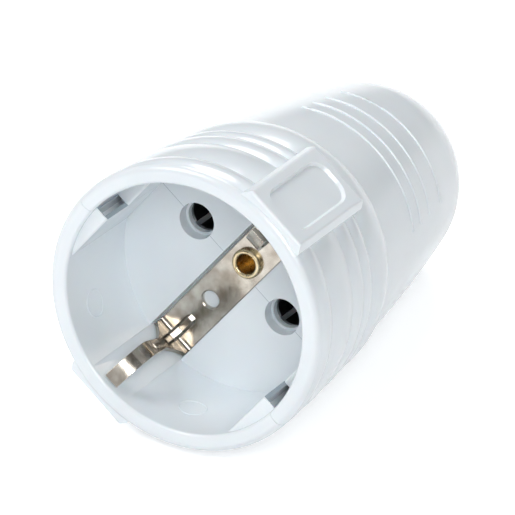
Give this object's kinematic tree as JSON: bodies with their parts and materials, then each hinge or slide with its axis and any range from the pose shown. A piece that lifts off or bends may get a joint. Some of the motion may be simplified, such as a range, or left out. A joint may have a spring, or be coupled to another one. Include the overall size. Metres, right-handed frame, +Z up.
{
  "type": "power socket",
  "caption": "Rewirable portable earthed socket with a round well, two pin holes, side earth springs and a domed two-shell housing.",
  "frame": {"origin": "middle of the bounding box's bottom face, on the table", "axes": "+Z up, +Y along the socket from its opening to its cord inlet in plan, +X to the right when facing the opening"},
  "size_m": [0.0444, 0.0734, 0.046],
  "materials": {
    "white_plastic": "gloss",
    "nickel_strip": "satin",
    "brass": "satin",
    "screw_steel": "satin",
    "spring_steel": "satin",
    "clamp_fibre": "matte"
  },
  "bodies": {
    "root": {"upper_shell": "white_plastic", "lower_shell": "white_plastic", "earth_strip": "nickel_strip", "earth_rivet": "brass", "earth_terminal": "brass", "earth_terminal_screw": "screw_steel", "line_contact": "brass", "neutral_contact": "brass", "line_spring_ring": "spring_steel", "neutral_spring_ring": "spring_steel", "line_terminal": "brass", "neutral_terminal": "brass", "line_terminal_screw": "screw_steel", "neutral_terminal_screw": "screw_steel", "housing_screw_1": "screw_steel", "housing_screw_2": "screw_steel", "housing_screw_3": "screw_steel", "housing_screw_4": "screw_steel", "cord_clamp": "clamp_fibre", "clamp_screw_1": "screw_steel", "clamp_screw_2": "screw_steel"}
  },
  "joints": []
}
